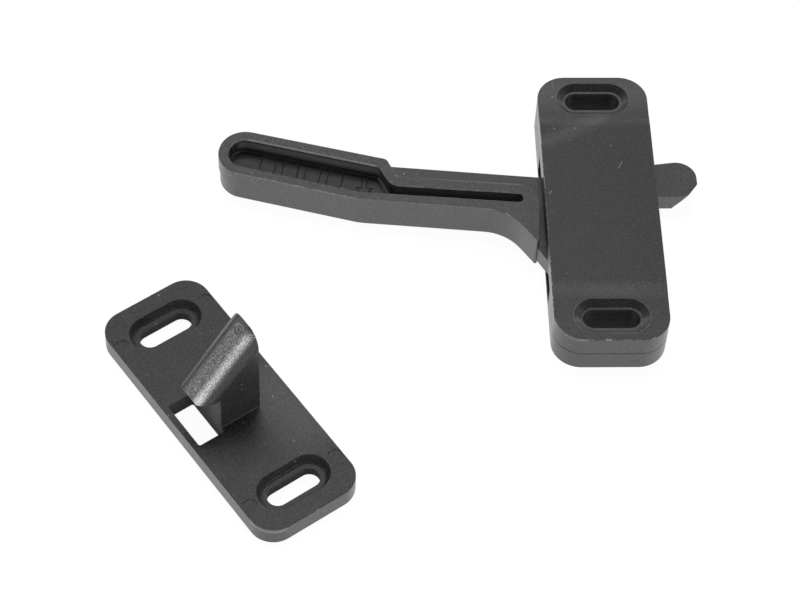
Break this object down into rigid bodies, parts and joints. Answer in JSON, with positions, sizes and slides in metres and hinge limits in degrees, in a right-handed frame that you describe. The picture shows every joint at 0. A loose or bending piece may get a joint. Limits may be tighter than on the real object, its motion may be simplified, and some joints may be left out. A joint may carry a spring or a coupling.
{
  "type": "screen door latch",
  "caption": "Surface-mounted screen door latch: a flat housing with a pivoting lever handle and sprung tongue, and a separate strike plate with a ramped hook.",
  "frame": {"origin": "middle of the housing's back face, which lies on the door", "axes": "+X across the housing towards the tongue, +Y along the housing away from the pivot end, +Z out of the door"},
  "size_m": [0.1353, 0.1202, 0.0304],
  "materials": {
    "housing_plastic": "fine-grained charcoal moulding",
    "lever_plastic": "fine-grained charcoal moulding",
    "strike_plastic": "satin charcoal moulding, coarser grain on the hook's ramp",
    "spring_steel": "drawn spring wire"
  },
  "bodies": {
    "housing": {"housing_cover": "housing_plastic", "housing_base": "housing_plastic", "return_spring": "spring_steel", "strike_plate": "strike_plastic"},
    "lever": {"latch_lever": "lever_plastic"}
  },
  "joints": [
    {"name": "lever_pivot", "type": "hinge", "parent": "housing", "child": "lever", "pos_m": [0, -0.018, 0.0039], "axis": [0, 0, 1], "range_deg": [0, 12], "stiffness_Nm_per_rad": 0.097, "springref_deg": -60.16, "deforming": ["return_spring"]}
  ]
}
